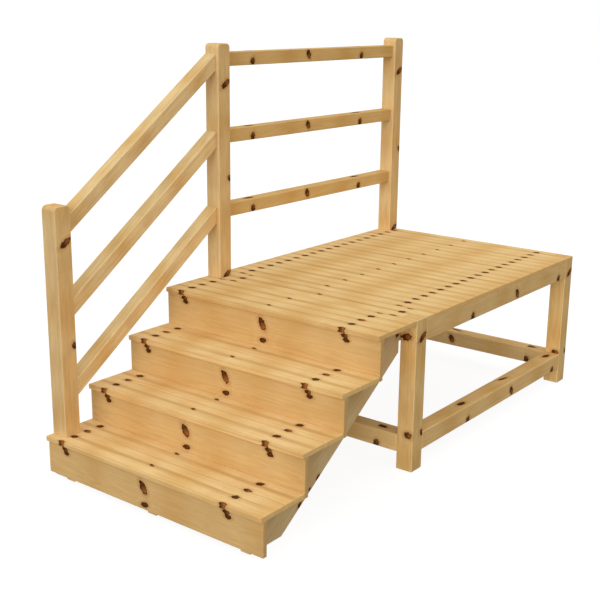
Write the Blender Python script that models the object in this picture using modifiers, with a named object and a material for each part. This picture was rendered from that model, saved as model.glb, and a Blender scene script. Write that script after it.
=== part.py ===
"""Timber mounting block for riders: three steps, a long platform and a handrail on the left.

Frame: +Z up, +Y the way a rider climbs, +X to the rider's right. The origin is on the ground under
the centre of the footprint. Lengths are in metres.
"""
import math

import bmesh
import bpy
from mathutils import Vector

# ---- driving dimensions ---------------------------------------------------------------------------
WIDTH = 1.000                 # treads and platform, side to side
GOING = 0.205                 # nosing to nosing
TREAD_TOPS = (0.158, 0.2965, 0.435)
PLATFORM_TOP = 0.582
PLATFORM_LENGTH = 1.550       # platform nosing to the back edge
NOSING = 0.0105               # how far each tread overhangs its riser
GAP = 0.0003                  # clearance between touching pieces

BOARD_WIDTH = 0.120
BOARD_THICKNESS = 0.018
PLATFORM_BOARD_COUNT = 13
RISER_THICKNESS = 0.018
RISER_1_BOTTOM = 0.0185       # the first riser stays clear of wet ground

POST_SIDE = 0.068
NEWEL_SETBACK = 0.033         # first nosing to the front face of the lower newel post
NEWEL_TOP = 0.987
PLATFORM_POST_TOP = 1.505
POST_TOP_RADIUS = 0.017       # the front and back edges of each post top are rounded over

STRINGER_THICKNESS = 0.040
STRINGER_HEEL = 0.183         # first nosing to where the underside leaves the ground
STRINGER_END = 0.8463         # first nosing to the upper end
STRINGER_END_HEIGHT = 0.453   # underside of the stringer at its upper end

HANDRAIL_WIDTH = 0.055        # across the flight
HANDRAIL_DEPTH = 0.054        # square to the rail's length
HANDRAIL_TOPS = {"top": 1.4715, "middle": 1.174, "bottom": 0.8765}   # of the level rails
STAIR_RAIL_DROP = 0.003       # the sloping rails meet the post this much lower
HANDRAIL_SLOPE = 0.6915       # rise over run beside the steps

FRAME_RAIL_THICKNESS = 0.068
FRAME_RAIL_DEPTH = 0.069
JOIST_THICKNESS = 0.045
JOIST_OFFSET = 0.145          # joist centres either side of the middle
STRETCHER_SIDE = 0.068        # the stretchers are as thick as the legs and flush with them
CROSS_STRETCHER_BOTTOM = 0.066
SIDE_STRETCHER_BOTTOM = 0.071

BOLT_HEIGHTS = {"lower": 0.045, "upper": 0.105}
BOLT_RADIUS = 0.005
BOLT_HOLE_RADIUS = 0.0053
BOLT_HEAD_RADIUS = 0.010
BOLT_HEAD_HEIGHT = 0.005
BOLT_HEAD_RIM = 0.001         # straight part of the head, under its dome
BOLT_END_THREAD = 0.011       # how far the shank passes the stringer
COUNTERBORE_RADIUS = 0.013
COUNTERBORE_DEPTH = 0.009
CUTTER_OVERRUN = 0.010        # how far a cutter stands outside the piece that it cuts
NUT_RADIUS = 0.0098
NUT_HEIGHT = 0.008

BOARD_EASING = 0.0018         # rounded arris of the thin boards
TIMBER_EASING = 0.0035        # rounded arris of posts, rails and legs
ROUGH_EASING = 0.0015         # sawn stringers and joists, hardly eased

# ---- positions that follow from them ----------------------------------------------------------------
TOTAL_LENGTH = len(TREAD_TOPS) * GOING + PLATFORM_LENGTH
FIRST_NOSING = -TOTAL_LENGTH / 2
BACK_EDGE = TOTAL_LENGTH / 2
LEFT = -WIDTH / 2
RIGHT = WIDTH / 2
BOARD_PITCH = BOARD_WIDTH + GAP
STEP_TOPS = TREAD_TOPS + (PLATFORM_TOP,)
PLATFORM_NOSING = FIRST_NOSING + len(TREAD_TOPS) * GOING
FRONT_POST_FACE = PLATFORM_NOSING + 2 * BOARD_PITCH
REAR_POST_FACE = BACK_EDGE - POST_SIDE
INNER_LEFT = LEFT + POST_SIDE
INNER_RIGHT = RIGHT - POST_SIDE
DECK_UNDERSIDE = PLATFORM_TOP - BOARD_THICKNESS

PINE_LIGHT = (0.74, 0.53, 0.30)
PINE_WARM = (0.66, 0.45, 0.23)
PINE_SAWN = (0.60, 0.42, 0.22)
ZINC = (0.62, 0.63, 0.64)


def new_collection(name):
    collection = bpy.data.collections.new(name)
    bpy.context.scene.collection.children.link(collection)
    return collection


def principled(name, colour, roughness, metallic=0.0):
    material = bpy.data.materials.new(name)
    material.use_nodes = True
    shader = material.node_tree.nodes["Principled BSDF"]
    shader.inputs["Base Color"].default_value = (*colour, 1.0)
    shader.inputs["Roughness"].default_value = roughness
    shader.inputs["Metallic"].default_value = metallic
    return material


def place(name, mesh, material, location, collection=None):
    """Links a mesh into the scene as a named object."""
    item = bpy.data.objects.new(name, mesh)
    item.location = location
    (collection or PARTS).objects.link(item)
    if material is not None:
        mesh.materials.append(material)
        item.parent = ROOT
    return item


def ease_edges(item, radius, segments=2):
    """Rounds every sharp arris of a piece."""
    bevel = item.modifiers.new("eased arrises", "BEVEL")
    bevel.width = radius
    bevel.segments = segments
    bevel.limit_method = "ANGLE"
    bevel.angle_limit = math.radians(30)
    return item


def block_mesh(name, size):
    """A cube mesh brought to its full size, so no object scale is left over."""
    mesh = bpy.data.meshes.new(name)
    builder = bmesh.new()
    bmesh.ops.create_cube(builder, size=1.0)
    bmesh.ops.scale(builder, vec=size, verts=builder.verts)
    builder.to_mesh(mesh)
    builder.free()
    return mesh


def plank(name, low, high, material, easing=TIMBER_EASING):
    """A straight piece of timber between two opposite corners."""
    low = Vector(low)
    high = Vector(high)
    item = place(name, block_mesh(name, high - low), material, (low + high) / 2)
    if easing:
        ease_edges(item, easing)
    return item


def hide_cutter(cutter):
    cutter.hide_render = True
    cutter.display_type = "WIRE"


def cut_with(item, cutter):
    """Takes the cutter out of a piece, before its arrises are eased."""
    cut = item.modifiers.new("cut " + cutter.name, "BOOLEAN")
    cut.operation = "DIFFERENCE"
    cut.solver = "EXACT"
    cut.object = cutter
    easing_index = item.modifiers.find("eased arrises")
    if easing_index >= 0:
        item.modifiers.move(len(item.modifiers) - 1, easing_index)


def box_cutter(name, low, high):
    low = Vector(low)
    high = Vector(high)
    cutter = place(name, block_mesh(name, high - low), None, (low + high) / 2, CUTTERS)
    hide_cutter(cutter)
    return cutter


def cylinder_mesh(name, radius, length, segments=24):
    mesh = bpy.data.meshes.new(name)
    builder = bmesh.new()
    bmesh.ops.create_cone(builder, cap_ends=True, segments=segments, radius1=radius, radius2=radius,
                          depth=length)
    builder.to_mesh(mesh)
    builder.free()
    return mesh


def side_profile(name, outline, x_low, x_high, material, easing):
    """A piece sawn to an outline of (y, z) points, between two planes across the flight."""
    curve = bpy.data.curves.new(name + " outline", "CURVE")
    curve.dimensions = "2D"
    curve.fill_mode = "BOTH"
    curve.extrude = (x_high - x_low) / 2
    spline = curve.splines.new("POLY")
    spline.points.add(len(outline) - 1)
    for point, (y, z) in zip(spline.points, outline):
        point.co = (y, z, 0.0, 1.0)
    spline.use_cyclic_u = True
    guide = bpy.data.objects.new(name + " outline", curve)
    PARTS.objects.link(guide)
    bpy.context.view_layer.update()
    mesh = bpy.data.meshes.new_from_object(guide.evaluated_get(bpy.context.evaluated_depsgraph_get()))
    bpy.data.objects.remove(guide)
    mesh.name = name
    builder = bmesh.new()
    builder.from_mesh(mesh)
    bmesh.ops.remove_doubles(builder, verts=builder.verts, dist=0.0001)
    bmesh.ops.dissolve_limit(builder, angle_limit=math.radians(1), verts=builder.verts,
                             edges=builder.edges)
    builder.to_mesh(mesh)
    builder.free()
    mesh.materials.clear()
    item = place(name, mesh, material, ((x_low + x_high) / 2, 0.0, 0.0))
    item.rotation_euler = (math.radians(90), 0.0, math.radians(90))
    return ease_edges(item, easing)


def round_over(mesh, height):
    """Rounds the front and back edges of a post's top, which run across the flight."""
    builder = bmesh.new()
    builder.from_mesh(mesh)
    top_edges = [edge for edge in builder.edges
                 if all(abs(vertex.co.z - height / 2) < 1e-6 for vertex in edge.verts)
                 and abs(edge.verts[0].co.y - edge.verts[1].co.y) < 1e-6]
    bmesh.ops.bevel(builder, geom=top_edges, offset=POST_TOP_RADIUS, segments=5, profile=0.5,
                    affect="EDGES")
    builder.to_mesh(mesh)
    builder.free()


def post(name, x_low, y_low, top, rounded=True):
    """A square upright from the ground."""
    item = plank(name, (x_low, y_low, 0.0), (x_low + POST_SIDE, y_low + POST_SIDE, top), POST_PINE)
    if rounded:
        round_over(item.data, top)
    return item


def housing(board, upright_name, x_low, y_low):
    """Cuts a board round an upright that passes its end."""
    cutter_left = x_low - (CUTTER_OVERRUN if x_low <= LEFT else GAP)
    cutter_right = x_low + POST_SIDE + (GAP if x_low <= LEFT else CUTTER_OVERRUN)
    bottom = board.location.z - BOARD_THICKNESS
    cutter = box_cutter("housing for " + upright_name, (cutter_left, y_low - GAP, bottom),
                        (cutter_right, y_low + POST_SIDE + GAP, bottom + 2 * BOARD_THICKNESS))
    cut_with(board, cutter)


def build_uprights():
    post("newel_post_lower", LEFT, FIRST_NOSING + NEWEL_SETBACK, NEWEL_TOP)
    post("platform_post_front", LEFT, FRONT_POST_FACE, PLATFORM_POST_TOP)
    post("platform_post_rear", LEFT, REAR_POST_FACE, PLATFORM_POST_TOP)
    post("leg_front_right", INNER_RIGHT, FRONT_POST_FACE, PLATFORM_TOP, rounded=False)
    post("leg_rear_right", INNER_RIGHT, REAR_POST_FACE, PLATFORM_TOP, rounded=False)


def stringer_outline():
    """Sawtooth upper edge, a foot flat on the ground, and a sloping underside."""
    back_of_riser = NOSING + RISER_THICKNESS + GAP
    outline = [(FIRST_NOSING + back_of_riser, 0.0)]
    for step, top in enumerate(STEP_TOPS):
        seat = top - BOARD_THICKNESS - GAP
        outline.append((FIRST_NOSING + step * GOING + back_of_riser, seat))
        next_cut = FIRST_NOSING + (step + 1) * GOING + back_of_riser
        if step == len(STEP_TOPS) - 1:
            next_cut = FIRST_NOSING + STRINGER_END
        outline.append((next_cut, seat))
    outline.append((FIRST_NOSING + STRINGER_END, STRINGER_END_HEIGHT))
    outline.append((FIRST_NOSING + STRINGER_HEEL, 0.0))
    return outline


def build_stringers():
    outline = stringer_outline()
    half = STRINGER_THICKNESS / 2
    centres = {"left": INNER_LEFT + GAP + half, "middle": 0.0, "right": INNER_RIGHT - half}
    stringers = {}
    for side, centre in centres.items():
        stringers[side] = side_profile("stringer_" + side, outline, centre - half, centre + half,
                                       SAWN_PINE, ROUGH_EASING)
    return stringers


def build_risers():
    for step, top in enumerate(STEP_TOPS):
        front = FIRST_NOSING + step * GOING + NOSING
        bottom = RISER_1_BOTTOM if step == 0 else STEP_TOPS[step - 1] - BOARD_THICKNESS
        plank(f"riser_{step + 1}", (LEFT, front, bottom),
              (RIGHT, front + RISER_THICKNESS, top - BOARD_THICKNESS - GAP), RISER_PINE, BOARD_EASING)


def build_treads():
    """Each tread is a full board with its nosing and a narrower one behind it, up to the next riser."""
    for step, top in enumerate(TREAD_TOPS):
        nosing = FIRST_NOSING + step * GOING
        front_board = plank(f"tread_{step + 1}_front_board", (LEFT, nosing, top - BOARD_THICKNESS),
                            (RIGHT, nosing + BOARD_WIDTH, top), TREAD_PINE, BOARD_EASING)
        if step == 0:
            housing(front_board, "lower newel", LEFT, FIRST_NOSING + NEWEL_SETBACK)
        plank(f"tread_{step + 1}_rear_board",
              (LEFT, nosing + BOARD_PITCH, top - BOARD_THICKNESS),
              (RIGHT, nosing + GOING + NOSING - GAP, top), TREAD_PINE, BOARD_EASING)


def build_platform_boards():
    for number in range(1, PLATFORM_BOARD_COUNT + 1):
        front = PLATFORM_NOSING + (number - 1) * BOARD_PITCH
        back = min(front + BOARD_WIDTH, BACK_EDGE)
        board = plank(f"platform_board_{number:02d}", (LEFT, front, DECK_UNDERSIDE),
                      (RIGHT, back, PLATFORM_TOP), TREAD_PINE, BOARD_EASING)
        for upright, x_low, y_low in (("platform post front", LEFT, FRONT_POST_FACE),
                                      ("platform post rear", LEFT, REAR_POST_FACE),
                                      ("leg front right", INNER_RIGHT, FRONT_POST_FACE),
                                      ("leg rear right", INNER_RIGHT, REAR_POST_FACE)):
            if y_low < back and y_low + POST_SIDE > front:
                housing(board, f"{upright} in board {number}", x_low, y_low)


def build_handrails():
    """Three rails down beside the steps and three level ones beside the platform."""
    newel_back = FIRST_NOSING + NEWEL_SETBACK + POST_SIDE + GAP
    post_front = FRONT_POST_FACE - GAP
    fall = HANDRAIL_SLOPE * (post_front - newel_back)
    upright_depth = HANDRAIL_DEPTH * math.hypot(1.0, HANDRAIL_SLOPE)
    for level, top in HANDRAIL_TOPS.items():
        meeting = top - STAIR_RAIL_DROP
        outline = [(newel_back, meeting - fall - upright_depth), (post_front, meeting - upright_depth),
                   (post_front, meeting), (newel_back, meeting - fall)]
        side_profile("stair_rail_" + level, outline, LEFT, LEFT + HANDRAIL_WIDTH, RAIL_PINE,
                     TIMBER_EASING)
        plank("platform_rail_" + level, (LEFT, FRONT_POST_FACE + POST_SIDE + GAP, top - HANDRAIL_DEPTH),
              (LEFT + HANDRAIL_WIDTH, REAR_POST_FACE - GAP, top), RAIL_PINE)


def build_platform_frame():
    """Rails under the edges of the deck, two joists between them, and a ring of low stretchers."""
    rail_top = DECK_UNDERSIDE - GAP
    rail_bottom = rail_top - FRAME_RAIL_DEPTH
    front_rail_face = FIRST_NOSING + STRINGER_END + GAP
    rear_rail_face = BACK_EDGE - FRAME_RAIL_THICKNESS
    between_left = INNER_LEFT + GAP
    between_right = INNER_RIGHT - GAP
    behind_front_posts = FRONT_POST_FACE + POST_SIDE + GAP
    before_rear_posts = REAR_POST_FACE - GAP
    for end, face in (("front", front_rail_face), ("rear", rear_rail_face)):
        plank("frame_rail_" + end, (between_left, face, rail_bottom),
              (between_right, face + FRAME_RAIL_THICKNESS, rail_top), FRAME_PINE, ROUGH_EASING)
    for side, outer_left in (("left", LEFT), ("right", RIGHT - FRAME_RAIL_THICKNESS)):
        plank("frame_rail_" + side, (outer_left, behind_front_posts, rail_bottom),
              (outer_left + FRAME_RAIL_THICKNESS, before_rear_posts, rail_top), FRAME_PINE, ROUGH_EASING)
    for side, centre in (("left", -JOIST_OFFSET), ("right", JOIST_OFFSET)):
        plank("deck_joist_" + side,
              (centre - JOIST_THICKNESS / 2, front_rail_face + FRAME_RAIL_THICKNESS + GAP, rail_bottom),
              (centre + JOIST_THICKNESS / 2, rear_rail_face - GAP, rail_top), SAWN_PINE, ROUGH_EASING)
    for end, face in (("front", FRONT_POST_FACE), ("rear", REAR_POST_FACE)):
        plank("stretcher_" + end, (between_left, face, CROSS_STRETCHER_BOTTOM),
              (between_right, face + STRETCHER_SIDE, CROSS_STRETCHER_BOTTOM + STRETCHER_SIDE), FRAME_PINE)
    for side, outer_left in (("left", LEFT), ("right", INNER_RIGHT)):
        plank("stretcher_" + side, (outer_left, behind_front_posts, SIDE_STRETCHER_BOTTOM),
              (outer_left + STRETCHER_SIDE, before_rear_posts, SIDE_STRETCHER_BOTTOM + STRETCHER_SIDE),
              FRAME_PINE)


def turned(name, profile, material, location):
    """A round piece turned about its own Z from a profile of (radius, height) points."""
    mesh = bpy.data.meshes.new(name)
    builder = bmesh.new()
    points = [builder.verts.new((radius, 0.0, height)) for radius, height in profile]
    for start, end in zip(points, points[1:]):
        builder.edges.new((start, end))
    builder.to_mesh(mesh)
    builder.free()
    item = place(name, mesh, material, location)
    screw = item.modifiers.new("turn", "SCREW")
    screw.steps = 24
    screw.render_steps = 24
    screw.use_merge_vertices = True
    screw.merge_threshold = 0.00005
    return item


def build_newel_bolts(newel, stringer):
    """Coach bolts that hold the lower newel to the left stringer, heads sunk in the post."""
    across = math.radians(90)
    y = FIRST_NOSING + NEWEL_SETBACK + POST_SIDE / 2
    head_seat = LEFT + COUNTERBORE_DEPTH
    nut_seat = INNER_LEFT + GAP + STRINGER_THICKNESS + GAP
    shank_end = nut_seat + BOLT_END_THREAD
    hole_start = LEFT - CUTTER_OVERRUN
    hole_end = nut_seat + 2 * CUTTER_OVERRUN
    for level, height in BOLT_HEIGHTS.items():
        hole = place("bolt hole " + level, cylinder_mesh("hole", BOLT_HOLE_RADIUS, hole_end - hole_start),
                     None, ((hole_start + hole_end) / 2, y, height), CUTTERS)
        counterbore = place("counterbore " + level,
                            cylinder_mesh("counterbore", COUNTERBORE_RADIUS, 2 * COUNTERBORE_DEPTH),
                            None, (LEFT, y, height), CUTTERS)
        for cutter in (hole, counterbore):
            cutter.rotation_euler = (0.0, across, 0.0)
            hide_cutter(cutter)
        cut_with(newel, hole)
        cut_with(newel, counterbore)
        cut_with(stringer, hole)

        profile = [(0.0, BOLT_HEAD_HEIGHT)]
        dome_steps = 4
        for step in range(1, dome_steps + 1):
            angle = math.radians(90) * step / dome_steps
            dome = (BOLT_HEAD_HEIGHT - BOLT_HEAD_RIM) * math.cos(angle)
            profile.append((BOLT_HEAD_RADIUS * math.sin(angle), BOLT_HEAD_RIM + dome))
        profile += [(BOLT_HEAD_RADIUS, 0.0), (BOLT_RADIUS, 0.0),
                    (BOLT_RADIUS, head_seat + GAP - shank_end), (0.0, head_seat + GAP - shank_end)]
        bolt = turned("coach_bolt_" + level, profile, ZINC_STEEL, (head_seat - GAP, y, height))
        bolt.rotation_euler = (0.0, -across, 0.0)

        nut_mesh = cylinder_mesh("coach_nut_" + level, NUT_RADIUS, NUT_HEIGHT, segments=6)
        nut = place("coach_nut_" + level, nut_mesh, ZINC_STEEL, (nut_seat + NUT_HEIGHT / 2, y, height))
        nut.rotation_euler = (0.0, across, 0.0)
        ease_edges(nut, 0.0005, segments=1)
        cut_with(nut, hole)


for leftover in list(bpy.data.objects):
    bpy.data.objects.remove(leftover)

PARTS = new_collection("mounting_block")
CUTTERS = new_collection("cutters")
ROOT = bpy.data.objects.new("mounting_block_root", None)
PARTS.objects.link(ROOT)

POST_PINE = principled("post_pine", PINE_WARM, 0.55)
SAWN_PINE = principled("sawn_pine", PINE_SAWN, 0.70)
RISER_PINE = principled("riser_pine", PINE_WARM, 0.55)
TREAD_PINE = principled("tread_pine", PINE_LIGHT, 0.55)
RAIL_PINE = principled("rail_pine", PINE_LIGHT, 0.52)
FRAME_PINE = principled("frame_pine", PINE_WARM, 0.58)
ZINC_STEEL = principled("zinc_steel", ZINC, 0.40, metallic=1.0)

build_uprights()
left_stringer = build_stringers()["left"]
build_risers()
build_treads()
build_platform_boards()
build_handrails()
build_platform_frame()
build_newel_bolts(bpy.data.objects["newel_post_lower"], left_stringer)
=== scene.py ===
import math
from collections import namedtuple

import bpy
from mathutils import Matrix, Vector


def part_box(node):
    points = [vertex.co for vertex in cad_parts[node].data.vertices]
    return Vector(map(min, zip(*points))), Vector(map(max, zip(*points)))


# The looks of a timber mounting block. Every CAD node keeps its shape and gets a procedural material of
# its own: 47 pieces of pine and 4 zinc-plated fixings, on a white studio floor. Lengths are in metres.
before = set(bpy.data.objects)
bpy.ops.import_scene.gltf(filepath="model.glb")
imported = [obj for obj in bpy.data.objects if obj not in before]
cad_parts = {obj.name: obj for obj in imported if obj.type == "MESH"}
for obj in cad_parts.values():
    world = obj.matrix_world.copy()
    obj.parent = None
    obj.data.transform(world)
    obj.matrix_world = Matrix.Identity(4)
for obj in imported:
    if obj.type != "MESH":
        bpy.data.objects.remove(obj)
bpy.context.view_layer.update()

# ---- the camera: the photograph's viewing angle -----------------------------------------------------
CAMERA_PLACE = (2.3483, -3.2887, 1.6422)
CAMERA_YAW = math.radians(38.05)
CAMERA_PITCH = math.radians(-15.18)
CAMERA_ROLL = math.radians(0.53)
CAMERA_LENS = 63.22
CAMERA_SENSOR = 36.0
CAMERA_SHIFT = (0.0084, -0.0118)

# ---- studio light -----------------------------------------------------------------------------------
LIGHT_ABOVE = 0.87
LIGHT_BELOW = 0.15
HORIZON_BLEND = 0.10          # how far above and below the horizon the one fades into the other
KEY_STRENGTH = 0.62
FILL_STRENGTH = 0.60          # the second half of the key, which reaches behind the steps
KEY_FROM = (0.20, -0.92, 0.34)
KEY_SPREAD = math.radians(35)
KEY_COLOUR = (1.0, 0.97, 0.93)
WHITE = (1.0, 1.0, 1.0)

FLOOR_SIZE = 60.0
FLOOR_DROP = 0.0005           # the floor lies this far under the feet
FLOOR_COLOUR = (0.16, 0.16, 0.16)
FLOOR_ROUGHNESS = 0.95
FLOOR_GLOW = 0.90             # nearly white by itself, so that the light falling on it shows only as shade

# ---- colours of the timber, scene-linear ------------------------------------------------------------
EARLY_WOOD = (0.800, 0.520, 0.205)
LATE_WOOD = (0.540, 0.285, 0.085)
ORANGE_WOOD = (0.690, 0.380, 0.120)
PALE_WOOD = (0.900, 0.660, 0.330)
DARK_KNOT = (0.042, 0.008, 0.002)
BROWN_KNOT = (0.380, 0.120, 0.028)
KNOT_HALO = (0.560, 0.270, 0.080)

# ---- each batch of timber is a little lighter, darker or warmer than the next; the tints also paint
# ---- light and shade: some pieces that sit in shade, such as the front stretcher, are painted lighter,
# ---- and the risers darker. The second tint of a pair is of the faces square to the first, such as
# ---- the fronts of uprights and the tops of rails, and paints those faces lighter or darker as the
# ---- light falls on them ----------------------------------------------------------------------
TREAD_TINT = (1.07, 1.12, 1.19)
DECK_TINT = (1.00, 1.03, 1.06)
# darker: painted shade on the risers
RISER_TINT = (0.84, 0.83, 0.84)
STRINGER_TINT = (0.89, 0.97, 1.15)
NEWEL_TINTS = ((0.96, 0.96, 0.98), (0.84, 0.87, 0.97))
POST_TINTS = ((0.90, 0.90, 0.92), (0.93, 0.97, 1.08))
LEG_TINTS = ((0.90, 0.89, 0.87), (1.12, 1.09, 1.02))
PLATFORM_RAIL_TINTS = ((0.88, 0.84, 0.74), None)
STAIR_RAIL_TINTS = ((1.01, 1.05, 1.14), (0.86, 0.91, 0.98))
FRAME_RAIL_TINTS = ((0.91, 0.91, 0.91), None)
SIDE_STRETCHER_TINTS = ((0.93, 0.92, 0.91), (0.98, 0.96, 0.91))
# lighter: painted light that lifts the shade under the deck
FRONT_STRETCHER_TINTS = ((1.20, 1.18, 1.14), (1.05, 1.06, 1.06))
REAR_STRETCHER_TINTS = ((0.99, 1.00, 1.03), (1.05, 1.06, 1.06))

# ---- how pine grows, in metres ----------------------------------------------------------------------
RING_WIDTH = 0.0034
PITH_WANDER = 0.045           # how far the heart of the tree strays to either side, along a trunk
KNOT_PERIOD = 0.762           # whorls of knots, and the paler stretches between, come this far apart
KNOT_TAPER = 0.014            # a knot is this deep below a face when it has shrunk to half its width
KNOT_SWELLING = 300.0         # growth rings pushed aside by a knot, to each metre of its half width
FIGURE = ((0.00, 0.35), (0.125, 0.0), (0.235, 1.0), (0.355, 0.0), (0.425, 0.45), (0.50, 0.0),
          (0.63, 1.0), (0.735, 0.05))      # warmth along one period: 0 pale, 1 orange
FIGURE_DRIFT = 0.09           # how raggedly the warm stretches end

# ---- patterns in the wood: cycles a metre along the grain, across the face and out of it ------------
Pattern = namedtuple("Pattern", "scale detail roughness", defaults=(1.0, 0.5))
TRUNK_WANDER = Pattern((1.3, 6.0, 6.0))
RING_WAVER = Pattern((9.0, 70.0, 70.0), 2.0)
RING_STRENGTH = Pattern((2.0, 16.0, 16.0))
FIBRE = Pattern((22.0, 900.0, 900.0), 3.0, 0.6)
CLOUD = Pattern((5.0, 11.0, 11.0), 2.0)
DRIFT = Pattern((3.0, 14.0, 14.0))
STREAKS = Pattern((2.2, 150.0, 150.0), 3.0, 0.55)
BLOTCHES = Pattern((9.0, 62.0, 62.0), 3.0, 0.6)
SPECKS = Pattern((75.0, 240.0, 240.0))
# breaks up the painted highlight along the arrises
ARRIS_HIGHLIGHT_BREAKUP = Pattern((30.0, 30.0, 30.0), 2.0)
KNOT_RAGGEDNESS = 130.0       # cycles a metre, the same in every direction

# ---- how strongly each of them shows ----------------------------------------------------------------
WAVER_SHARE = 0.55            # of a ring's width
RING_SHARE = 0.26
WARM_SHARE = 0.55
PALE_SHARE = 0.62
CLOUD_SHARE = 0.28
FIBRE_SHARE = 0.22
DARK_STREAK_SHARE = 0.20
PALE_STREAK_SHARE = 0.22
SPECK_SHARE = 0.45
END_GRAIN_SHARE = 0.08
HALO_SHARE = 0.55
PINE_SPECULAR = 0.015
PINE_BUMP = (0.35, 0.0006)    # strength, and height in metres
ZINC_BUMP = (0.15, 0.0002)
ZINC_COLOURS = ((0.42, 0.43, 0.45), (0.66, 0.67, 0.70))
ZINC_SPANGLE = 600.0
ZINC_DULLNESS = 240.0

# ---- darker grain on every board: distances from its middle line over which it fades, and strength --
MIDDLE_STREAK = (0.003, 0.018, 0.52)
SEAM_STREAK = (0.047, 0.058, 0.42)

# ---- sizes of the timbers ---------------------------------------------------------------------------
BOARD_WIDTH = 0.120
BOARD_THICKNESS = 0.018
BOARD_EASING = 0.0018         # rounded arris of boards
TIMBER_EASING = 0.0035        # of posts, legs and rails
ROUGH_EASING = 0.0015         # of sawn timber
STAIR_RAIL_SLOPE = 0.6915     # rise over run
STAIR_RAIL_DEPTH = 0.054
FLIGHT_STEP = (0.205, 0.1385)     # going and rise of one step
RISER_COUNT = 4

# ---- how the pieces of each batch are cut from their trees. Seed: where in the patterns the first piece
# ---- lies, and how much further each next one. Pith: the heart of the tree, from the piece's centre --
Cut = namedtuple("Cut", "seed seed_step pith easing")
CUTS = {
    "board": Cut(1.7, 0.11, (0.0, 0.004, -0.075), BOARD_EASING),
    "riser": Cut(4.3, 0.37, (0.0, -0.02, -0.09), BOARD_EASING),
    "upright": Cut(7.1, 0.53, (0.0, 0.05, -0.03), TIMBER_EASING),
    "rail": Cut(11.9, 0.29, (0.0, -0.03, -0.05), TIMBER_EASING),
    "stair_rail": Cut(17.3, 0.61, (0.0, 0.03, -0.06), TIMBER_EASING),
    "stringer": Cut(21.9, 0.47, (0.0, 0.08, -0.05), ROUGH_EASING),
    "joist": Cut(24.1, 0.31, (0.0, 0.01, -0.05), ROUGH_EASING),
}

# ---- knots, family by family. Along: from the piece's low end; across: from its centre line; turn: of the
# ---- long axis, from the grain; dark: 0 brown, 1 black; side: on the faces square to the main one ---
Knot = namedtuple("Knot", "along across half_length half_width turn dark side", defaults=(0, 1.0, False))
BOARD_KNOTS = (
    Knot(0.083, 0.000, 0.0145, 0.0115, 12, 1.0),
    Knot(0.082, -0.060, 0.0155, 0.0100, 0, 0.55),
    Knot(0.082, 0.060, 0.0155, 0.0100, 0, 0.55),
    Knot(0.471, 0.002, 0.0115, 0.0060, -18, 0.80),
)
PLATFORM_BOARD_3_SHIFT = 0.053    # this board's knots lie further along it
RISER_KNOTS = (   # across is here the height from the top of the tread above, so it is below zero
    Knot(0.088, -0.0295, 0.0140, 0.0080, 0, 0.80),
    Knot(0.0955, -0.0440, 0.0140, 0.0085, 0, 1.0),
    Knot(0.481, -0.060, 0.0250, 0.0145, -58, 0.52),
    Knot(0.485, -0.120, 0.0165, 0.0095, 10, 0.95),
)
BOARD_REPEAT_FROM = -0.10     # the run of knots on boards and risers starts before their low end
POST_KNOTS = (
    Knot(0.590, -0.007, 0.0265, 0.0118, -58, 0.62),
    Knot(0.220, -0.026, 0.0135, 0.0105, 20, 0.90),
)
LEG_FRONT_KNOTS = (
    Knot(0.513, -0.008, 0.0215, 0.0130, 78, 0.60, True),
    Knot(0.510, -0.036, 0.0070, 0.0080, 0, 1.0, True),
    Knot(0.142, 0.013, 0.0170, 0.0130, 95, 0.60, True),
)
RAIL_KNOTS = (
    Knot(0.000, -0.012, 0.0150, 0.0135, 60, 0.90),
    Knot(0.368, 0.004, 0.0200, 0.0132, -62, 0.64),
    Knot(0.002, 0.0, 0.0250, 0.0110, 4, 1.0, True),
)
STRETCHER_TOP_KNOT = Knot(0.370, -0.008, 0.0300, 0.0070, 12, 0.75, True)
STRINGER_KNOTS = (   # (place along the flight, height) on the stringers' sides, half length, half width
    ((-0.247, 0.524), 0.0130, 0.0090),
    ((-0.707, 0.136), 0.0120, 0.0085),
    ((-0.753, 0.112), 0.0060, 0.0050),
    ((-0.806, 0.074), 0.0110, 0.0080),
)
STRINGER_KNOT_TURN = 15
STRINGER_KNOT_DARK = 0.9

# ---- how far up the run of knots of each upright is shifted, and its tints --------------------------
UPRIGHTS = {
    "newel_post_lower": (0.268, NEWEL_TINTS),
    "platform_post_front": (0.0, POST_TINTS),
    "platform_post_rear": (0.0, POST_TINTS),
    "leg_front_right": (-0.078, LEG_TINTS),
    "leg_rear_right": (-0.078, LEG_TINTS),
}
UPRIGHT_FIGURE_STEP = 0.19    # each next upright has its warm stretches this much higher

# ---- level rails, the more exact names first: where the first knot is, how far the knots sit off their
# ---- usual line, the easing of the arrises, and the tints -------------------------------------------
RAIL_FAMILIES = {
    "platform_rail": (-0.007, 0.0, TIMBER_EASING, PLATFORM_RAIL_TINTS),
    "frame_rail_front": (-0.433, -0.012, ROUGH_EASING, FRAME_RAIL_TINTS),
    "frame_rail_rear": (-0.433, -0.012, ROUGH_EASING, FRAME_RAIL_TINTS),
    "frame_rail": (0.180, -0.012, ROUGH_EASING, FRAME_RAIL_TINTS),
    "stretcher_front": (-0.420, -0.012, TIMBER_EASING, FRONT_STRETCHER_TINTS),
    "stretcher_rear": (-0.422, -0.006, TIMBER_EASING, REAR_STRETCHER_TINTS),
    "stretcher": (0.184, -0.012, TIMBER_EASING, SIDE_STRETCHER_TINTS),
}
STAIR_RAIL_FIGURE_STEP = 0.13

AXES = {"X": Vector((1, 0, 0)), "Y": Vector((0, 1, 0)), "Z": Vector((0, 0, 1)), "-Y": Vector((0, -1, 0))}


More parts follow.
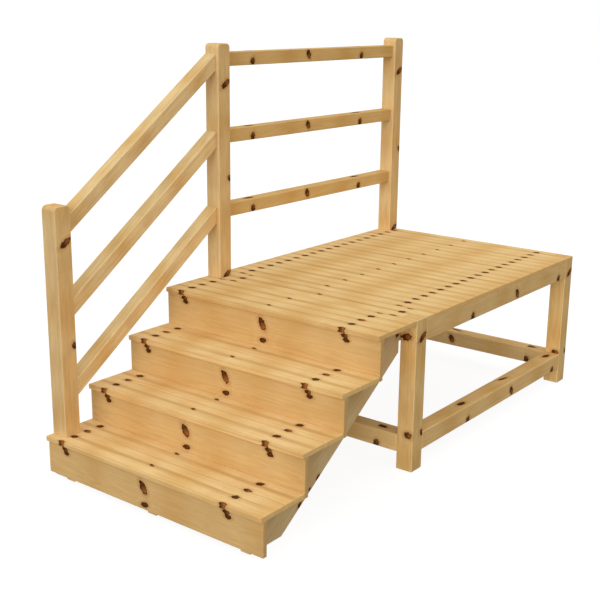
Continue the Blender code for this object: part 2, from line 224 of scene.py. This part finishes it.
# =====================================================================================================
# node building
# =====================================================================================================
class Wiring:
    """Adds nodes to one tree. Each method returns the new node's first output socket."""

    def __init__(self, tree):
        self.tree = tree

    def node(self, kind, inputs=None, **settings):
        """Returns the node itself."""
        item = self.tree.nodes.new(kind)
        for name, value in settings.items():
            setattr(item, name, value)
        for key, value in (inputs or {}).items():
            self.feed(item.inputs[key], value)
        return item

    def feed(self, socket, value):
        if isinstance(value, bpy.types.NodeSocket):
            self.tree.links.new(value, socket)
        else:
            socket.default_value = value

    def math(self, operation, *values, clamp=False):
        item = self.tree.nodes.new("ShaderNodeMath")
        item.operation = operation
        item.use_clamp = clamp
        for socket, value in zip(item.inputs, values):
            self.feed(socket, value)
        return item.outputs[0]

    def vector(self, operation, *values):
        item = self.tree.nodes.new("ShaderNodeVectorMath")
        item.operation = operation
        for socket, value in zip(item.inputs, values):
            self.feed(socket, value)
        return item.outputs["Value" if operation in ("DOT_PRODUCT", "LENGTH") else "Vector"]

    def split(self, vector):
        """Returns the vector's three numbers."""
        return self.node("ShaderNodeSeparateXYZ", {0: vector}).outputs

    def join(self, x=0.0, y=0.0, z=0.0):
        return self.node("ShaderNodeCombineXYZ", {0: x, 1: y, 2: z}).outputs[0]

    def mix(self, factor, first, second):
        """Mixes two colours."""
        item = self.node("ShaderNodeMix", data_type="RGBA", clamp_factor=True)
        self.feed(item.inputs[0], factor)
        self.feed(item.inputs[6], first)
        self.feed(item.inputs[7], second)
        return item.outputs[2]

    def blend(self, factor, first, second):
        """Mixes two numbers."""
        item = self.node("ShaderNodeMix", data_type="FLOAT", clamp_factor=True)
        self.feed(item.inputs[0], factor)
        self.feed(item.inputs[2], first)
        self.feed(item.inputs[3], second)
        return item.outputs[0]

    def ramp(self, value, low, high, low_out=0.0, high_out=1.0):
        """A smooth step of value from low to high."""
        item = self.node("ShaderNodeMapRange", {0: value, 1: low, 2: high, 3: low_out, 4: high_out},
                         interpolation_type="SMOOTHSTEP")
        return item.outputs[0]

    def stops(self, value, levels):
        """A soft curve through (place, level) stops."""
        ramp = self.node("ShaderNodeValToRGB", {0: value})
        ramp.color_ramp.interpolation = "EASE"
        while len(ramp.color_ramp.elements) < len(levels):
            ramp.color_ramp.elements.new(1.0)
        for element, (place, level) in zip(ramp.color_ramp.elements, levels):
            element.position = place
            element.color = (level, level, level, 1.0)
        return ramp.outputs[0]

    def noise(self, vector, scale, detail, roughness=0.5):
        item = self.node("ShaderNodeTexNoise", {"Vector": vector, "Scale": scale, "Detail": detail,
                                                "Roughness": roughness})
        return item.outputs[0]

    def pattern(self, place, kind):
        """The level, near 0.5, of one of the wood's patterns."""
        stretched = self.vector("MULTIPLY", place, kind.scale)
        return self.noise(stretched, 1.0, kind.detail, kind.roughness)


def new_group(name, inputs, outputs):
    """A node group with sockets from {name: kind}; returns its tree, its inputs and its outputs."""
    tree = bpy.data.node_groups.new(name, "ShaderNodeTree")
    for direction, sockets in (("INPUT", inputs), ("OUTPUT", outputs)):
        for label, kind in sockets.items():
            tree.interface.new_socket(label, in_out=direction, socket_type="NodeSocket" + kind)
    return tree, tree.nodes.new("NodeGroupInput").outputs, tree.nodes.new("NodeGroupOutput").inputs


def new_material(name):
    """Returns a material, the wiring of its tree, and its Principled shader."""
    material = bpy.data.materials.new(name)
    material.use_nodes = True
    return material, Wiring(material.node_tree), material.node_tree.nodes["Principled BSDF"]


def rgba(colour):
    return (*colour, 1.0)


# =====================================================================================================
# pine
# =====================================================================================================
def make_knot_group():
    """Adds one branch to the running record of the nearest knot: how far, how dark, where on it, and the
    swelling of the growth rings round it. Distances are in units of the knot's own radii."""
    record = {"Nearest": "Float", "Nearest dark": "Float", "Tip": "Float", "Swell": "Float"}
    branch = {"Position": "Vector", "Ragged": "Float", "Centre": "Vector", "Long": "Vector",
              "Short": "Vector", "Dark": "Float", "Swelling": "Float"}
    tree, given, result = new_group("knot", {**branch, **record}, record)
    wire = Wiring(tree)
    offset = wire.vector("SUBTRACT", given["Position"], given["Centre"])
    along = wire.vector("DOT_PRODUCT", offset, given["Long"])
    across = wire.vector("DOT_PRODUCT", offset, given["Short"])
    reach = wire.vector("LENGTH", wire.join(along, across))
    distance = wire.math("MULTIPLY", reach, given["Ragged"])
    closer = wire.math("LESS_THAN", distance, given["Nearest"])
    wire.feed(result["Nearest"], wire.math("MINIMUM", distance, given["Nearest"]))
    wire.feed(result["Nearest dark"], wire.blend(closer, given["Nearest dark"], given["Dark"]))
    wire.feed(result["Tip"], wire.blend(closer, given["Tip"], along))
    # the rings are pushed aside most at the knot, and lie straight again some four radii away
    fade = wire.math("EXPONENT", wire.math("MULTIPLY", wire.math("POWER", reach, 1.5), -0.42))
    wire.feed(result["Swell"], wire.math("MULTIPLY_ADD", fade, given["Swelling"], given["Swell"]))
    return tree


def late_wood(wire, given, seeded):
    """How much of the dark late wood of a growth ring is at a point. Rings are cylinders round the pith,
    wandering slowly along the trunk and swelling at each knot."""
    lazy = wire.vector("MULTIPLY", seeded, TRUNK_WANDER.scale)
    wander = wire.node("ShaderNodeTexNoise", {"Vector": lazy, "Scale": 1.0, "Detail": TRUNK_WANDER.detail})
    wander = wire.vector("SUBTRACT", wander.outputs["Color"], (0.5, 0.5, 0.5))
    from_pith = wire.vector("ADD", wire.vector("SUBTRACT", given["Position"], given["Pith"]),
                            wire.vector("MULTIPLY", wander, (0.0, PITH_WANDER, PITH_WANDER)))
    radius = wire.vector("LENGTH", wire.vector("MULTIPLY", from_pith, (0.0, 1.0, 1.0)))
    waver = wire.math("MULTIPLY", wire.pattern(seeded, RING_WAVER), WAVER_SHARE)
    ring = wire.math("ADD", wire.math("DIVIDE", radius, RING_WIDTH), waver)
    phase = wire.math("FRACT", wire.math("ADD", ring, given["Swell"]))
    growing = wire.ramp(phase, 0.25, 0.90)
    stopping = wire.ramp(phase, 0.93, 1.0, 1.0, 0.0)
    strength = wire.ramp(wire.pattern(seeded, RING_STRENGTH), 0.25, 0.75, 0.25, 1.0)
    return wire.math("MULTIPLY", wire.math("MULTIPLY", growing, stopping), strength)


def figure_warmth(wire, given, seeded):
    """How warm the wood is here, 0 pale to 1 orange: it changes slowly along the tree."""
    drift = wire.math("SUBTRACT", wire.pattern(seeded, DRIFT), 0.5)
    along = wire.math("SUBTRACT", wire.split(given["Position"])[0], given["Figure start"])
    along = wire.math("ADD", along, wire.math("MULTIPLY", drift, FIGURE_DRIFT))
    share_of_period = wire.math("DIVIDE", wire.math("WRAP", along, KNOT_PERIOD, 0.0), KNOT_PERIOD)
    return wire.stops(share_of_period, [(place / KNOT_PERIOD, warmth) for place, warmth in FIGURE])


def clear_wood(wire, given, seeded, late, fibre):
    """The colour of the wood between the knots."""
    figure = figure_warmth(wire, given, seeded)
    warm = wire.math("MULTIPLY", figure, given["Figure"])
    pale = wire.math("MULTIPLY", wire.math("SUBTRACT", 1.0, figure), given["Figure"])
    colour = wire.mix(wire.math("MULTIPLY", late, RING_SHARE), rgba(EARLY_WOOD), rgba(LATE_WOOD))
    colour = wire.mix(wire.math("MULTIPLY", warm, WARM_SHARE), colour, rgba(ORANGE_WOOD))
    colour = wire.mix(wire.math("MULTIPLY", pale, PALE_SHARE), colour, rgba(PALE_WOOD))

    cloud = wire.ramp(wire.pattern(seeded, CLOUD), 0.45, 0.75, 0.0, CLOUD_SHARE)
    colour = wire.mix(cloud, colour, rgba(ORANGE_WOOD))
    colour = wire.mix(wire.ramp(fibre, 0.45, 0.80, 0.0, FIBRE_SHARE), colour, rgba(LATE_WOOD))

    streaks = wire.pattern(seeded, STREAKS)
    colour = wire.mix(wire.ramp(streaks, 0.48, 0.72, 0.0, DARK_STREAK_SHARE), colour, rgba(LATE_WOOD))
    colour = wire.mix(wire.ramp(streaks, 0.44, 0.26, 0.0, PALE_STREAK_SHARE), colour, rgba(PALE_WOOD))
    side_grain = wire.math("SUBTRACT", 1.0, given["End grain"])
    stripe = wire.math("MULTIPLY", given["Streak"], wire.ramp(streaks, 0.30, 0.62, 0.35, 1.35))
    colour = wire.mix(wire.math("MULTIPLY", stripe, side_grain), colour, rgba(LATE_WOOD))

    blotch = wire.math("SUBTRACT", wire.ramp(wire.pattern(seeded, BLOTCHES), 0.42, 0.58), 0.5)
    brightness = wire.math("MULTIPLY_ADD", blotch, given["Mottle"], 1.0)
    colour = wire.vector("MULTIPLY", colour, wire.join(brightness, brightness, brightness))
    specks = wire.ramp(wire.pattern(seeded, SPECKS), 0.76, 0.86, 0.0, SPECK_SHARE)
    colour = wire.mix(specks, colour, rgba(BROWN_KNOT))
    return wire.mix(wire.math("MULTIPLY", given["End grain"], END_GRAIN_SHARE), colour, rgba(LATE_WOOD))


def worn_arris(wire, given, seeded):
    """How far a point is on an eased arris, where a painted highlight makes the wood paler. On an arris two
    of the three depths under the faces are small, so the second smallest tells how near it is."""
    inside = wire.vector("SUBTRACT", wire.vector("ABSOLUTE", given["Position"]), given["Half size"])
    x, y, z = wire.split(inside)
    largest = wire.math("MAXIMUM", wire.math("MAXIMUM", x, y), z)
    smallest = wire.math("MINIMUM", wire.math("MINIMUM", x, y), z)
    total = wire.math("ADD", wire.math("ADD", x, y), z)
    second = wire.math("SUBTRACT", wire.math("SUBTRACT", total, largest), smallest)
    edge_depth = wire.math("DIVIDE", second, given["Easing"])
    # the painted highlight is stronger in some places than in others
    highlight_breakup = wire.ramp(wire.pattern(seeded, ARRIS_HIGHLIGHT_BREAKUP), 0.25, 0.6, 0.45, 0.9)
    arris = wire.math("MULTIPLY", wire.ramp(edge_depth, -1.15, -0.45), highlight_breakup)
    return wire.math("MULTIPLY", arris, given["Arris highlight"])


def knot_wood(wire, given):
    """The colour inside a knot: brown rings, a dark rim, and one end darker than the other."""
    rings = wire.math("PINGPONG", wire.math("MULTIPLY", given["Knot"], 2.3), 0.5)
    tip = wire.ramp(given["Knot tip"], -0.5, 0.75)
    darkness = wire.math("ADD", wire.math("SUBTRACT", given["Knot dark"], tip), 0.45, clamp=True)
    darkness = wire.math("MAXIMUM", darkness, wire.ramp(given["Knot dark"], 0.8, 1.0))
    colour = wire.mix(darkness, rgba(BROWN_KNOT), rgba(DARK_KNOT))
    colour = wire.mix(wire.math("MULTIPLY", rings, 0.45), colour, rgba(KNOT_HALO))
    near_rim = wire.ramp(given["Knot"], 0.62, 0.86)
    rim = wire.math("MULTIPLY", near_rim, wire.ramp(given["Knot dark"], 0.1, 0.6))
    return wire.mix(wire.math("MULTIPLY", rim, 0.8), colour, rgba(DARK_KNOT))


def make_pine_group():
    """Colour, roughness and height of sawn and planed pine at a point of a piece.

    Position is (along the grain, across the face, out of the face) from the piece's centre. Pith is how far
    the heart of the tree lies from that centre, and sets whether a face shows arches or straight lines."""
    tree, given, result = new_group(
        "pine",
        {"Position": "Vector", "Half size": "Vector", "Pith": "Vector", "Seed": "Float",
         "End grain": "Float", "Easing": "Float", "Tint": "Vector", "Figure start": "Float",
         "Figure": "Float", "Streak": "Float", "Mottle": "Float", "Arris highlight": "Float", "Knot": "Float",
         "Knot dark": "Float", "Knot tip": "Float", "Swell": "Float"},
        {"Color": "Color", "Roughness": "Float", "Height": "Float"})
    wire = Wiring(tree)
    seeded = wire.vector("ADD", given["Position"], wire.join(given["Seed"], given["Seed"], given["Seed"]))
    late = late_wood(wire, given, seeded)
    fibre = wire.pattern(seeded, FIBRE)
    arris = worn_arris(wire, given, seeded)
    inside_knot = wire.ramp(given["Knot"], 1.06, 0.90)

    colour = clear_wood(wire, given, seeded, late, fibre)
    # a painted highlight along the arrises: paler wood where light catches the rounding
    colour = wire.mix(arris, colour, rgba(PALE_WOOD))
    colour = wire.mix(wire.ramp(given["Knot"], 2.1, 0.95, 0.0, HALO_SHARE), colour, rgba(KNOT_HALO))
    colour = wire.mix(inside_knot, colour, knot_wood(wire, given))
    wire.feed(result["Color"], wire.vector("MULTIPLY", colour, given["Tint"]))

    # late wood and the arrises are smoother, knots and end grain rougher
    roughness = wire.blend(late, 0.62, 0.52)
    roughness = wire.math("ADD", roughness, wire.math("MULTIPLY", fibre, 0.10))
    roughness = wire.blend(arris, roughness, 0.46)
    roughness = wire.blend(wire.math("MULTIPLY", inside_knot, 0.8), roughness, 0.70)
    wire.feed(result["Roughness"], wire.blend(given["End grain"], roughness, 0.80))

    # late wood, fibres and knots stand proud, and a crack runs round each knot
    height = wire.math("MULTIPLY", late, 0.35)
    height = wire.math("ADD", height, wire.math("MULTIPLY", fibre, 0.55))
    height = wire.math("ADD", height, wire.math("MULTIPLY", inside_knot, 0.9))
    off_crack = wire.math("ABSOLUTE", wire.math("SUBTRACT", given["Knot"], 0.98))
    crack = wire.ramp(off_crack, 0.0, 0.07, 0.8, 0.0)
    wire.feed(result["Height"], wire.math("SUBTRACT", height, crack))
    return tree


KNOT_GROUP = make_knot_group()
PINE_GROUP = make_pine_group()


def board_streak(wire, across):
    """Darker grain along the middle of each board and, thinner, along its seams."""
    from_middle = wire.math("ABSOLUTE", across)
    near, far, strength = MIDDLE_STREAK
    middle = wire.ramp(from_middle, near, far, strength, 0.0)
    near, far, strength = SEAM_STREAK
    seam = wire.ramp(from_middle, near, far, 0.0, strength)
    return wire.math("MAXIMUM", middle, seam)


def knot_taper(wire, coordinate, half_size):
    """How many times narrower a knot is here than at the faces, at plus and minus half_size."""
    depth = wire.math("SUBTRACT", half_size, wire.math("ABSOLUTE", coordinate))
    return wire.math("MULTIPLY_ADD", wire.math("MULTIPLY", depth, depth), KNOT_TAPER ** -2, 1.0)


def knot_axes(knot):
    """The knot's long and short axes in the piece's own directions, each divided by its radius."""
    cos = math.cos(math.radians(knot.turn))
    sin = math.sin(math.radians(knot.turn))
    long_axis = (cos / knot.half_length, sin / knot.half_length)
    short_axis = (-sin / knot.half_width, cos / knot.half_width)
    if knot.side:
        return (long_axis[0], 0.0, long_axis[1]), (short_axis[0], 0.0, short_axis[1])
    return (*long_axis, 0.0), (*short_axis, 0.0)


def wire_knots(wire, knots, position, half_size, seed, repeat_from):
    """Adds a piece's knots one after another; returns the record of the nearest one. The run of knots comes
    round again every period along the piece, if it is told where to start."""
    along, across, out = wire.split(position)
    ragged = wire.noise(wire.vector("ADD", position, (seed, seed, seed)), KNOT_RAGGEDNESS, 2.0)
    ragged = wire.math("ADD", wire.math("MULTIPLY", ragged, 0.9), 0.55)      # about 1 on average
    face_ragged = wire.math("MULTIPLY", ragged, knot_taper(wire, out, half_size[2]))
    edge_ragged = wire.math("MULTIPLY", ragged, knot_taper(wire, across, half_size[1]))
    if repeat_from is not None:
        start = repeat_from - half_size[0]
        wrapped = wire.math("WRAP", along, start + KNOT_PERIOD, start)
        position = wire.join(wrapped, across, out)
    record = {"Nearest": 9.0, "Nearest dark": 0.0, "Tip": 0.0, "Swell": 0.0}
    for knot in knots:
        long_axis, short_axis = knot_axes(knot)
        from_centre = knot.along - half_size[0]
        centre = (from_centre, 0.0, knot.across) if knot.side else (from_centre, knot.across, 0.0)
        inputs = {"Position": position, "Ragged": edge_ragged if knot.side else face_ragged,
                  "Centre": centre, "Long": long_axis, "Short": short_axis, "Dark": knot.dark,
                  "Swelling": KNOT_SWELLING * knot.half_width, **record}
        group = wire.node("ShaderNodeGroup", node_tree=KNOT_GROUP)
        for key, value in inputs.items():
            wire.feed(group.inputs[key], value)
        record = {key: group.outputs[key] for key in record}
    return record


def pine(name, origin, grain, face, half_size, seed, pith, easing, knots=(), repeat_from=None,
         tint=(1.0, 1.0, 1.0), edge_tint=None, figure=0.5, figure_start=0.0, worn=0.5, streak=0.0,
         striped=False, mottle=0.05):
    """A pine material for one straight piece, with its own growth rings and its own knots."""
    material, wire, shader = new_material(name)
    grain = Vector(grain).normalized()
    face = Vector(face).normalized()
    side = face.cross(grain)
    turn = Matrix((grain, side, face)).transposed().to_euler()
    coordinates = wire.node("ShaderNodeTexCoord")
    mapping = wire.node("ShaderNodeMapping", {"Vector": coordinates.outputs["Object"], "Location": origin,
                                              "Rotation": turn}, vector_type="TEXTURE")
    position = mapping.outputs[0]
    end_grain = wire.vector("DOT_PRODUCT", coordinates.outputs["Normal"], tuple(grain))
    end_grain = wire.ramp(wire.math("ABSOLUTE", end_grain), 0.80, 0.95)
    # the faces square to the main face, which take the second tint: painted light or shade
    painted_light_faces = wire.vector("DOT_PRODUCT", coordinates.outputs["Normal"], tuple(side))
    painted_light_faces = wire.ramp(wire.math("ABSOLUTE", painted_light_faces), 0.50, 0.85)
    nearest_knot = wire_knots(wire, knots, position, half_size, seed, repeat_from)
    if striped:
        streak = board_streak(wire, wire.split(position)[1])

    # the tint mixes the wood's own tone with painted light and shade
    inputs = {"Position": position, "Half size": half_size, "Pith": pith, "Seed": seed,
              "End grain": end_grain, "Easing": easing,
              "Tint": wire.mix(painted_light_faces, rgba(tint), rgba(edge_tint or tint)),
              "Figure": figure, "Figure start": figure_start - half_size[0],
              "Streak": streak, "Mottle": mottle, "Arris highlight": worn,
              "Knot": nearest_knot["Nearest"], "Knot dark": nearest_knot["Nearest dark"],
              "Knot tip": nearest_knot["Tip"], "Swell": nearest_knot["Swell"]}
    group = wire.node("ShaderNodeGroup", node_tree=PINE_GROUP)
    for key, value in inputs.items():
        wire.feed(group.inputs[key], value)
    strength, distance = PINE_BUMP
    bump = wire.node("ShaderNodeBump", {"Height": group.outputs["Height"], "Strength": strength,
                                        "Distance": distance})
    wire.feed(shader.inputs["Base Color"], group.outputs["Color"])
    wire.feed(shader.inputs["Roughness"], group.outputs["Roughness"])
    wire.feed(shader.inputs["Specular IOR Level"], PINE_SPECULAR)
    wire.feed(shader.inputs["Normal"], bump.outputs[0])
    return material


def cut(batch, number):
    """How the piece with this number in its batch is cut from its tree."""
    seed, seed_step, pith, easing = CUTS[batch]
    return {"seed": seed + seed_step * number, "pith": pith, "easing": easing}


# =====================================================================================================
# each node's material
# =====================================================================================================
def dress(node, material):
    """Puts a material on every face of a CAD node."""
    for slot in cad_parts[node].material_slots:
        slot.material = material


def dress_timber(node, grain, face, **details):
    """Gives a straight piece its pine, with the frame and the size taken from its CAD box."""
    low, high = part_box(node)
    size = high - low
    grain_axis = AXES[grain]
    face_axis = AXES[face]
    side_axis = face_axis.cross(grain_axis)
    half_size = tuple(abs(size.dot(axis)) / 2 for axis in (grain_axis, side_axis, face_axis))
    dress(node, pine("pine_" + node, (low + high) / 2, grain_axis, face_axis, half_size, **details))


def shifted(knots, along, across=0.0):
    """The same run of knots, started elsewhere along a piece; it comes round again every period."""
    moved = []
    for knot in knots:
        sideways = 0.0 if knot.side else across
        moved.append(knot._replace(along=(knot.along + along) % KNOT_PERIOD, across=knot.across + sideways))
    return moved


def dress_boards():
    names = sorted(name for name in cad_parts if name.startswith(("platform_board", "tread_")))
    for number, name in enumerate(names):
        low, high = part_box(name)
        shift = PLATFORM_BOARD_3_SHIFT if name == "platform_board_03" else 0.0
        ripped = (BOARD_WIDTH - (high.y - low.y)) / 2
        knots = [knot._replace(along=knot.along + shift, across=knot.across + ripped)
                 for knot in BOARD_KNOTS]
        dress_timber(name, "X", "Z", **cut("board", number), knots=knots, repeat_from=BOARD_REPEAT_FROM,
                     striped=True, figure=0.62, figure_start=shift, worn=0.15,
                     tint=DECK_TINT if name.startswith("platform") else TREAD_TINT)


def dress_risers():
    for step in range(1, RISER_COUNT + 1):
        name = f"riser_{step}"
        low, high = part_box(name)
        tread_top = high.z + BOARD_THICKNESS
        centre = (low.z + high.z) / 2
        knots = [knot._replace(across=tread_top + knot.across - centre) for knot in RISER_KNOTS]
        dress_timber(name, "X", "-Y", **cut("riser", step), knots=knots, repeat_from=BOARD_REPEAT_FROM,
                     figure=0.35, worn=0.3, tint=RISER_TINT)


def dress_uprights():
    for number, (name, (shift, (tint, edge_tint))) in enumerate(UPRIGHTS.items()):
        knots = shifted(POST_KNOTS, shift)
        if name.startswith("leg"):
            knots += LEG_FRONT_KNOTS
        dress_timber(name, "Z", "X", **cut("upright", number), knots=knots, repeat_from=0.0,
                     figure_start=UPRIGHT_FIGURE_STEP * number, worn=0.85, mottle=0.09, tint=tint,
                     edge_tint=edge_tint)


def dress_rails():
    """The level rails: handrails, rails under the deck and stretchers."""
    for number, name in enumerate(sorted(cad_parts)):
        family = next((key for key in RAIL_FAMILIES if name.startswith(key)), None)
        if family is None:
            continue
        first_knot, drop, easing, (tint, edge_tint) = RAIL_FAMILIES[family]
        low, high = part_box(name)
        along_flight = high.y - low.y > high.x - low.x
        shift = first_knot - (low.y if along_flight else low.x)
        grain, face = ("Y", "X") if along_flight else ("X", "-Y")
        knots = list(RAIL_KNOTS)
        if family != "platform_rail":
            knots.append(STRETCHER_TOP_KNOT)
        details = cut("rail", number)
        details["easing"] = easing
        dress_timber(name, grain, face, **details, knots=shifted(knots, shift, drop), repeat_from=0.0,
                     figure_start=shift, tint=tint, edge_tint=edge_tint)


def dress_stair_rails():
    """The grain of the stair rails follows their slope."""
    tint, edge_tint = STAIR_RAIL_TINTS
    grain = (0.0, 1.0, STAIR_RAIL_SLOPE)
    for number, level in enumerate(("bottom", "middle", "top")):
        name = "stair_rail_" + level
        low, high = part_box(name)
        length = (high.y - low.y) * math.hypot(1.0, STAIR_RAIL_SLOPE)
        half_size = (length, STAIR_RAIL_DEPTH / 2, (high.x - low.x) / 2)
        dress(name, pine("pine_" + name, (low + high) / 2, grain, AXES["X"], half_size,
                         **cut("stair_rail", number), figure=0.8, mottle=0.11, worn=0.85,
                         figure_start=STAIR_RAIL_FIGURE_STEP * number, tint=tint, edge_tint=edge_tint))


def dress_stringers():
    """Sawn stringers, with the grain along the flight."""
    grain = Vector((0.0, *FLIGHT_STEP)).normalized()
    across = AXES["X"].cross(grain)
    for number, side in enumerate(("left", "middle", "right")):
        name = "stringer_" + side
        low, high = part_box(name)
        centre = (low + high) / 2
        half_size = (high.y - low.y, high.z - low.z, (high.x - low.x) / 2)
        knots = []
        for (y, z), half_length, half_width in STRINGER_KNOTS:
            offset = Vector((0.0, y - centre.y, z - centre.z))
            knots.append(Knot(half_size[0] + offset.dot(grain), offset.dot(across), half_length, half_width,
                              STRINGER_KNOT_TURN, STRINGER_KNOT_DARK))
        dress(name, pine("pine_" + name, centre, grain, AXES["X"], half_size, **cut("stringer", number),
                         knots=knots, worn=0.0, streak=0.12, tint=STRINGER_TINT))


def dress_joists():
    for number, side in enumerate(("left", "right")):
        dress_timber("deck_joist_" + side, "Y", "X", **cut("joist", number), streak=0.12,
                     tint=STRINGER_TINT)


def zinc_steel():
    """Zinc plating: a fine spangle, duller in some places than in others."""
    material, wire, shader = new_material("zinc_steel_plated")
    place = wire.node("ShaderNodeTexCoord").outputs["Object"]
    spangle = wire.node("ShaderNodeTexVoronoi", {"Vector": place, "Scale": ZINC_SPANGLE})
    dull = wire.noise(place, ZINC_DULLNESS, 3.0)
    darker, lighter = ZINC_COLOURS
    strength, distance = ZINC_BUMP
    bump = wire.node("ShaderNodeBump", {"Height": spangle.outputs["Distance"], "Strength": strength,
                                        "Distance": distance})
    wire.feed(shader.inputs["Base Color"], wire.mix(dull, rgba(darker), rgba(lighter)))
    wire.feed(shader.inputs["Roughness"], wire.ramp(dull, 0.2, 0.8, 0.28, 0.55))
    wire.feed(shader.inputs["Metallic"], 1.0)
    wire.feed(shader.inputs["Normal"], bump.outputs[0])
    return material


def dress_bolts():
    steel = zinc_steel()
    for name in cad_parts:
        if name.startswith("coach_"):
            dress(name, steel)


# =====================================================================================================
# stage
# =====================================================================================================
def make_floor():
    bpy.ops.mesh.primitive_plane_add(size=FLOOR_SIZE, location=(0.0, 0.0, -FLOOR_DROP))
    floor = bpy.context.object
    floor.name = "studio_floor"
    material, wire, shader = new_material("floor_white")
    wire.feed(shader.inputs["Base Color"], rgba(FLOOR_COLOUR))
    wire.feed(shader.inputs["Roughness"], FLOOR_ROUGHNESS)
    wire.feed(shader.inputs["Specular IOR Level"], 0.0)
    wire.feed(shader.inputs["Emission Color"], rgba(WHITE))
    wire.feed(shader.inputs["Emission Strength"], FLOOR_GLOW)
    floor.data.materials.append(material)
    floor.visible_diffuse = False      # the light from below is set in the studio's surround instead
    floor.visible_glossy = False


def make_surround():
    """A white dome, darker below the horizon, which the camera itself sees as plain white."""
    world = bpy.data.worlds.new("studio")
    bpy.context.scene.world = world
    world.use_nodes = True
    background = world.node_tree.nodes["Background"]
    wire = Wiring(world.node_tree)
    direction = wire.node("ShaderNodeTexCoord").outputs["Generated"]
    height = wire.split(direction)[2]
    surround = wire.ramp(height, -HORIZON_BLEND, HORIZON_BLEND, LIGHT_BELOW, LIGHT_ABOVE)
    seen = wire.node("ShaderNodeLightPath").outputs["Is Camera Ray"]
    wire.feed(background.inputs["Strength"], wire.blend(seen, surround, 1.0))
    wire.feed(background.inputs["Color"], rgba(WHITE))


def make_suns():
    """A soft key light, and a fill from the same side that casts no shadow."""
    for name, strength, casts_shadow in (("soft key", KEY_STRENGTH, True),
                                         ("soft fill", FILL_STRENGTH, False)):
        sun = bpy.data.lights.new(name, "SUN")
        sun.energy = strength
        sun.angle = KEY_SPREAD
        sun.color = KEY_COLOUR
        sun.use_shadow = casts_shadow
        lamp = bpy.data.objects.new(name, sun)
        lamp.rotation_euler = Vector(KEY_FROM).to_track_quat("Z", "Y").to_euler()
        bpy.context.scene.collection.objects.link(lamp)


def make_camera():
    data = bpy.data.cameras.new("photo camera")
    data.lens = CAMERA_LENS
    data.sensor_width = CAMERA_SENSOR
    data.shift_x, data.shift_y = CAMERA_SHIFT
    data.dof.use_dof = False
    camera = bpy.data.objects.new("photo camera", data)
    turn = (Matrix.Rotation(CAMERA_YAW, 4, "Z") @ Matrix.Rotation(math.radians(90) + CAMERA_PITCH, 4, "X")
            @ Matrix.Rotation(CAMERA_ROLL, 4, "Z"))
    camera.matrix_world = Matrix.Translation(CAMERA_PLACE) @ turn
    bpy.context.scene.collection.objects.link(camera)
    bpy.context.scene.camera = camera


make_camera()
make_surround()
make_suns()
make_floor()
bpy.context.scene.view_settings.view_transform = "Standard"
dress_boards()
dress_risers()
dress_uprights()
dress_rails()
dress_stair_rails()
dress_stringers()
dress_joists()
dress_bolts()
